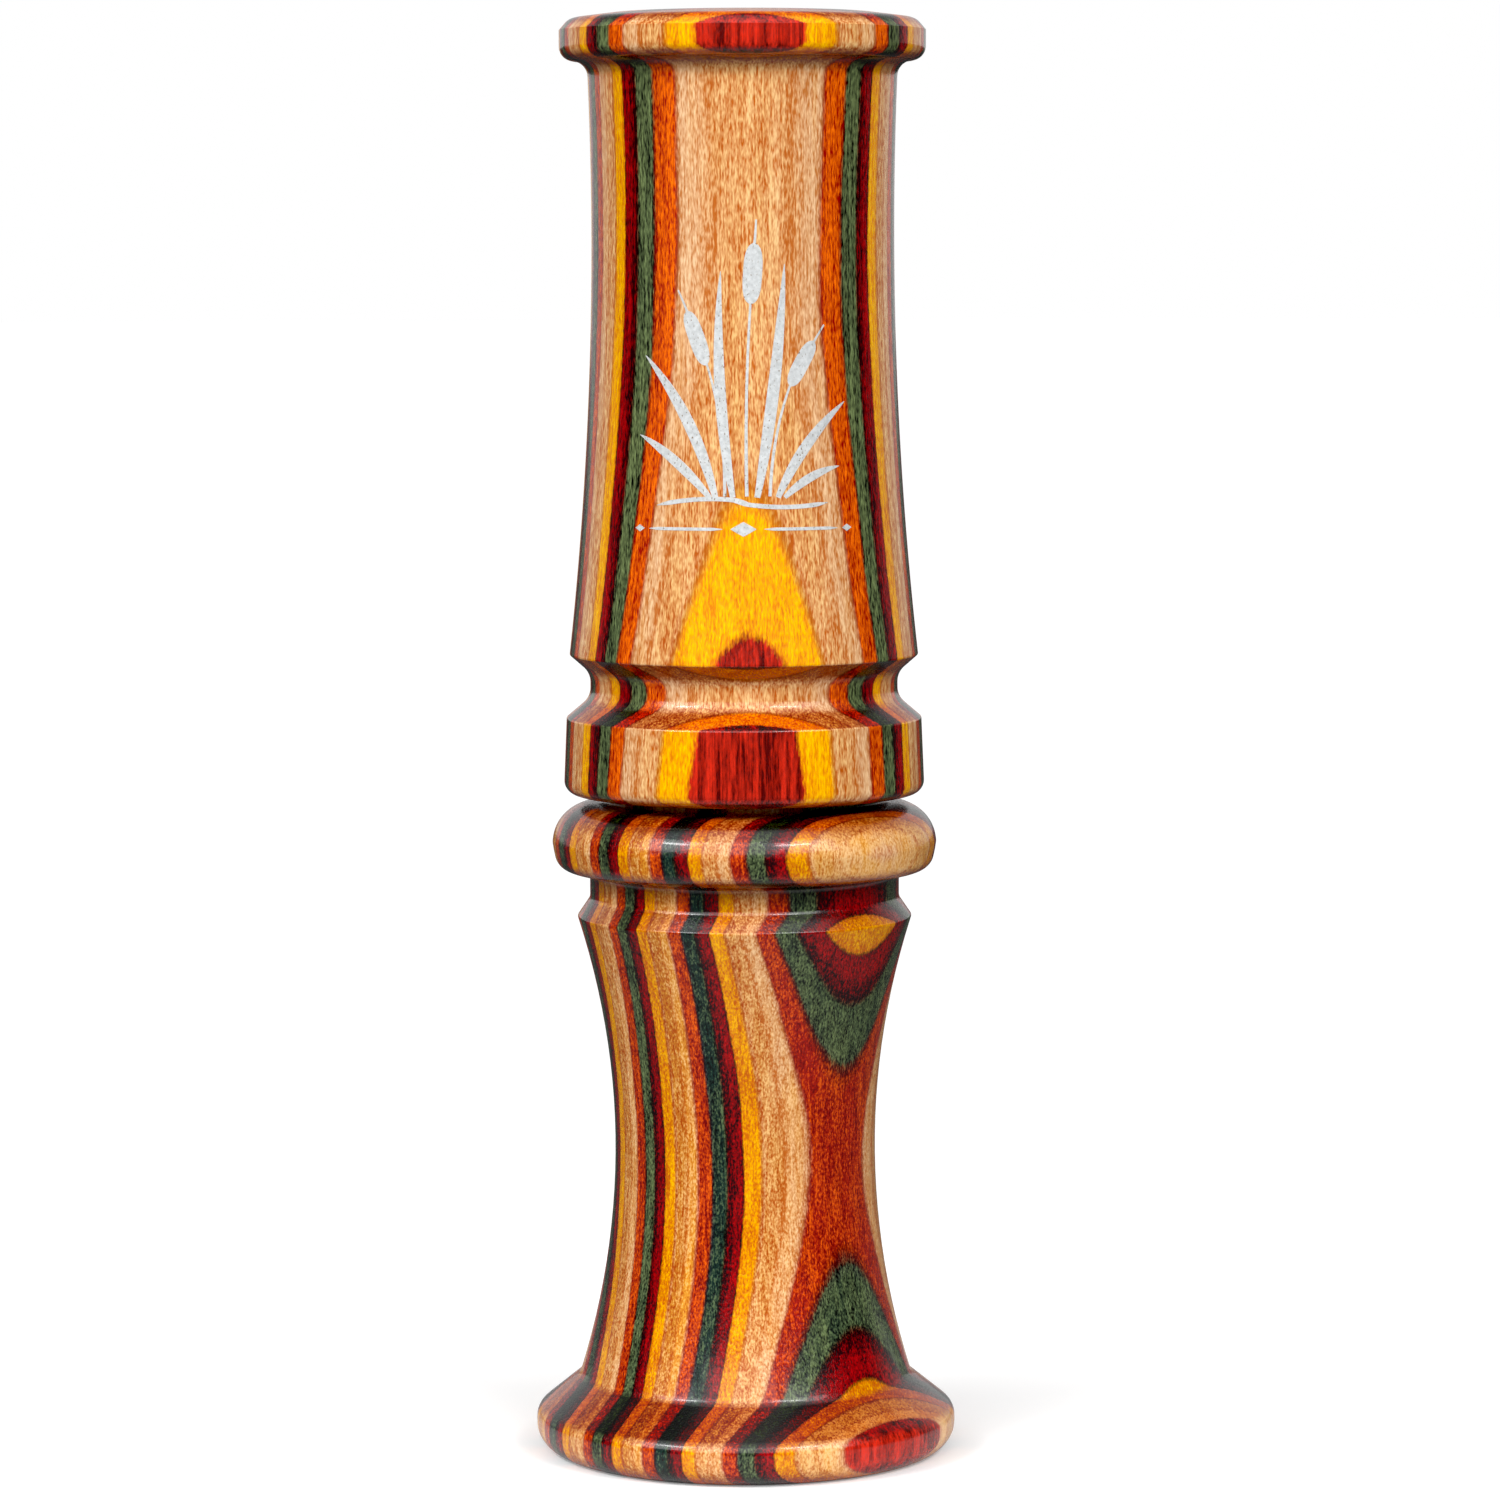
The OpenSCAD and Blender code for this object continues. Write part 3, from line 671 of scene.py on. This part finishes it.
def print_on(name, outline, material):
    """Thin closed shells on the outside of a turned outline, one for each stroke.

    A stroke's middle line is the curve (1 - t)^2 start + 2 t (1 - t) bend + t^2 end, and its edges
    lie its half width times its form's share away from it. A point (u, z) of it then goes to the
    angle u / r(z) round the axis from -Y, at the outside's radius r(z) plus the print's height.
    """
    outside = outline[outline[:, 0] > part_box("barrel")[1].x * OUTSIDE_SHARE]
    outside = outside[np.argsort(outside[:, 1])]
    t = np.linspace(0, 1, STROKE_ROWS)[:, None]
    fronts, backs = [], []
    for rank, (start, bend, end, half_width, form) in enumerate(STROKES):
        start, bend, end = (np.array(point) * MM for point in (start, bend, end))
        middle = (1 - t) ** 2 * start + 2 * t * (1 - t) * bend + t ** 2 * end
        way = (1 - t) * (bend - start) + t * (end - bend)
        side = np.column_stack([way[:, 1], -way[:, 0]])
        side = side / np.linalg.norm(way, axis=1, keepdims=True)
        reach = half_width * MM * FORMS[form](t)
        flat = middle[:, None] + (side * reach)[:, None] * np.array([-1, 0, 1])[:, None]
        radius = np.interp(flat[..., 1], outside[:, 1], outside[:, 0])
        angle = flat[..., 0] / radius
        for grids, rise in ((fronts, PRINT_PROUD + rank * PRINT_STEP), (backs, -PRINT_BACK)):
            raised = radius + rise
            grids.append(np.stack([raised * np.sin(angle), -raised * np.cos(angle), flat[..., 1]],
                                  axis=-1))
    return shells(name, fronts, backs, material)


# Reeds: points along and across a plate, the power that crowds the rows towards its tip, and the
# width of its cut corners
REED_ROWS, REED_COLUMNS = 56, 12
REED_CROWDING = 1.6
REED_CORNER = 1.6 * MM


def reed_plate(name, node, material):
    """Flat strip in the place of a reed's node: x = s w(z), where s runs from -1 to 1.

    The half width w(z) is the node's own, less the rise of z past the start of the cut corners. As
    t runs from 0 to 1, z runs from low to high as 1 - (1 - t)^REED_CROWDING.
    """
    low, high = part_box(node)
    t = np.linspace(0, 1, REED_ROWS)[:, None]
    z = low.z + (high.z - low.z) * (1 - (1 - t) ** REED_CROWDING)
    width = high.x - np.maximum(0, z - (high.z - REED_CORNER))
    x = width * np.linspace(-1, 1, REED_COLUMNS)
    front, back = (np.stack([x, 0 * x + y, 0 * x + z], axis=-1) for y in (low.y, high.y))
    return shells(name, [front], [back], material)


# Pieces of the call

dyed_plies = dyed_plies_group(wood_grain_group())
barrel_wood = plywood_material("barrel_plies", dyed_plies, BARREL_PLIES, BARREL_SCARLET)
insert_wood = plywood_material("insert_plies", dyed_plies, INSERT_PLIES, INSERT_SCARLET)

for node, body, slot, material in (("barrel", "barrel_body", "barrel_wood", barrel_wood),
                                   ("insert", "insert_body", "insert_wood", insert_wood)):
    outline, sharp = smoothed(outline_of(node))
    piece = turned("turned_" + node, outline, sharp, material)
    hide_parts(node)
    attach(piece, body)
    if node == "barrel":
        marsh = print_on("printed_cattails", outline, plain_material("print_ink", **PRINT_INK))
        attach(marsh, body)

rubber = plain_material("seal_rubber_finish", **SEAL_RUBBER)
cork = plain_material("cork_finish", **CORK)
acrylic = plain_material("board_acrylic", **ACRYLIC)
film = plain_material("reed_film_finish", **REED_FILM)
for node, material in (("tone_board", acrylic), ("reed_wedge", cork), ("tenon_ring_upper", rubber),
                       ("tenon_ring_lower", rubber)):
    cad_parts[node].data.materials.clear()
    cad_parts[node].data.materials.append(material)

for node in ("lower_reed", "upper_reed"):
    plate = reed_plate(node + "_film", node, film)
    low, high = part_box(node)
    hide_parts(node)
    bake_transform(plate)

# Camera, at the photograph's distance and angle: how far it stands in front of the axis, to the
# side and above the floor, its pitch and its roll in degrees, and its field of view
CAMERA_DISTANCE = 489.6 * MM
CAMERA_SIDE = 0.517 * MM
CAMERA_HEIGHT = 106.4 * MM
CAMERA_PITCH = 5.14
CAMERA_ROLL = -0.146
FIELD_OF_VIEW = 15.37

camera_data = bpy.data.cameras.new("camera")
camera_data.angle = math.radians(FIELD_OF_VIEW)
camera = bpy.data.objects.new("camera", camera_data)
bpy.context.scene.collection.objects.link(camera)
camera.matrix_world = (Matrix.Translation((CAMERA_SIDE, -CAMERA_DISTANCE, CAMERA_HEIGHT))
                       @ Matrix.Rotation(math.radians(90 - CAMERA_PITCH), 4, "X")
                       @ Matrix.Rotation(math.radians(CAMERA_ROLL), 4, "Z"))
bpy.context.scene.camera = camera

# Studio: a pale floor that fades into a white background, soft lights in front of the call and
# above it, of which two small ones glint in its lacquer, and a surrounding that is bright behind
# the call

# Floor: its radius, its rings and the steps round it, its grey under the call and far away with
# the radii between which it changes, its roughness and shine, and its glow for the camera,
# likewise
FLOOR_RADIUS = 8.0
FLOOR_RINGS, FLOOR_STEPS = 8, 48
FLOOR_GREYS, FLOOR_FADE = (0.8, 0.08), (0.02, 0.12)
FLOOR_ROUGHNESS, FLOOR_SPECULAR = 0.9, 0.1
FLOOR_GLOWS, FLOOR_GLOW_FADE = (0.22, 1.0), (0.015, 0.09)

# Softboxes: the height on the axis that they face, their distance from it, and for each one its
# azimuth from the camera's side and its elevation in degrees, its width, height and power
LIT_HEIGHT = 64 * MM
LIGHT_DISTANCE = 0.9
SOFTBOXES = {
    "left_softbox": (-52, 32, 0.5, 0.5, 4.15),
    "right_softbox": (44, 32, 0.5, 0.5, 4.0),
    "left_strip": (-48, 38, 0.22, 0.06, 1.7),
    "right_strip": (34, 38, 0.3, 0.06, 1.6),
    "front_softbox": (-6, 32, 0.9, 0.56, 4.6),
}

# Surrounding: its strength on the camera's side, behind the call and overhead, the Y of the
# directions between which it goes from the camera's side to the back, and the Z between which it
# goes overhead
FRONT_LIGHT, BACK_LIGHT, TOP_LIGHT = 0.04, 0.75, 0.15
BACK_RANGE, TOP_RANGE = (0.3, 0.75), (0.45, 0.85)

# Panel above the camera's side that only mirrors in the call: its strength, and the Z and Y of the
# directions between which it fades in
PANEL_LIGHT = 1.6
PANEL_RISE, PANEL_FRONT = (0.66, 0.82), (0.08, -0.12)

# Tone that the picture shows as black, and plain white
BLACK_LEVEL = 0.004
WHITE = (1.0, 1.0, 1.0, 1.0)


def seen_by_camera(tree):
    """1 for what the camera sees directly, 0 for what lights the call or mirrors in it."""
    return tree.nodes.new("ShaderNodeLightPath").outputs["Is Camera Ray"]


def floor_disc():
    """Flat disc in the plane z = 0, as rings of points at r = FLOOR_RADIUS (i / FLOOR_RINGS)^2."""
    angle = np.arange(FLOOR_STEPS) * 2 * math.pi / FLOOR_STEPS
    r = FLOOR_RADIUS * (np.arange(1, FLOOR_RINGS + 1) / FLOOR_RINGS)[:, None] ** 2
    grid = np.stack([r * np.cos(angle), r * np.sin(angle), 0 * r * angle], axis=-1).reshape(-1, 3)
    row, column = np.meshgrid(np.arange(FLOOR_RINGS - 1), np.arange(FLOOR_STEPS), indexing="ij")
    inner, outer, beside = row * FLOOR_STEPS, (row + 1) * FLOOR_STEPS, (column + 1) % FLOOR_STEPS
    quads = np.stack([inner + column, outer + column, outer + beside, inner + beside], axis=-1)
    quads = quads.reshape(-1, 4)
    material, tree, shader, place = new_material("pale_floor")
    away = linked(tree, "ShaderNodeVectorMath", {0: place}, operation="LENGTH").outputs["Value"]
    near, far = ((grey, grey, grey, 1.0) for grey in FLOOR_GREYS)
    tree.links.new(mixed(tree, between(tree, away, *FLOOR_FADE), near, far),
                   shader.inputs["Base Color"])
    shader.inputs["Roughness"].default_value = FLOOR_ROUGHNESS
    shader.inputs["Specular IOR Level"].default_value = FLOOR_SPECULAR
    shader.inputs["Emission Color"].default_value = WHITE
    glow = between(tree, away, *FLOOR_GLOW_FADE, *FLOOR_GLOWS)
    tree.links.new(maths(tree, "MULTIPLY", glow, seen_by_camera(tree)),
                   shader.inputs["Emission Strength"])
    floor = piece_from("floor", grid, quads, material)
    middle = bmesh.new()
    middle.from_mesh(floor.data)
    middle.verts.ensure_lookup_table()
    middle.faces.new(middle.verts[:FLOOR_STEPS])
    middle.to_mesh(floor.data)
    middle.free()
    return floor


def softbox(name, azimuth, elevation, width, height, power):
    """Rectangular light that faces the call, turned to its azimuth and elevation in degrees."""
    a, e = math.radians(azimuth), math.radians(elevation)
    away = Vector((math.sin(a) * math.cos(e), -math.cos(a) * math.cos(e), math.sin(e)))
    data = bpy.data.lights.new(name, "AREA")
    data.shape, data.size, data.size_y, data.energy = "RECTANGLE", width, height, power
    light = bpy.data.objects.new(name, data)
    bpy.context.scene.collection.objects.link(light)
    light.location = Vector((0, 0, LIT_HEIGHT)) + away * LIGHT_DISTANCE
    light.rotation_mode = "QUATERNION"
    light.rotation_quaternion = away.to_track_quat("Z", "Y")


def surrounding():
    """Soft light from all round, by direction, and plain white where the camera sees it."""
    world = bpy.data.worlds.new("studio")
    world.use_nodes = True
    tree = world.node_tree
    way = linked(tree, "ShaderNodeSeparateXYZ",
                 {0: tree.nodes.new("ShaderNodeTexCoord").outputs["Generated"]}).outputs
    level = between(tree, way["Y"], *BACK_RANGE, FRONT_LIGHT, BACK_LIGHT)
    above = between(tree, way["Z"], *TOP_RANGE)
    panel = maths(tree, "MULTIPLY", between(tree, way["Z"], *PANEL_RISE, 0.0, PANEL_LIGHT),
                  between(tree, way["Y"], *PANEL_FRONT))
    mirrored = tree.nodes.new("ShaderNodeLightPath").outputs["Is Glossy Ray"]
    lit = maths(tree, "ADD", maths(tree, "MULTIPLY", level, maths(tree, "SUBTRACT", 1.0, above)),
                maths(tree, "MULTIPLY", above, TOP_LIGHT))
    lit = maths(tree, "MULTIPLY_ADD", panel, mirrored, lit)
    seen = seen_by_camera(tree)
    unseen = maths(tree, "SUBTRACT", 1.0, seen)
    tree.links.new(maths(tree, "ADD", maths(tree, "MULTIPLY", lit, unseen), seen),
                   tree.nodes["Background"].inputs["Strength"])
    tree.nodes["Background"].inputs["Color"].default_value = WHITE
    bpy.context.scene.world = world


view = bpy.context.scene.view_settings
view.view_transform = "Standard"
view.use_curve_mapping = True
view.curve_mapping.black_level = (BLACK_LEVEL,) * 3
view.curve_mapping.update()
floor_disc()
for name, settings in SOFTBOXES.items():
    softbox(name, *settings)
surrounding()
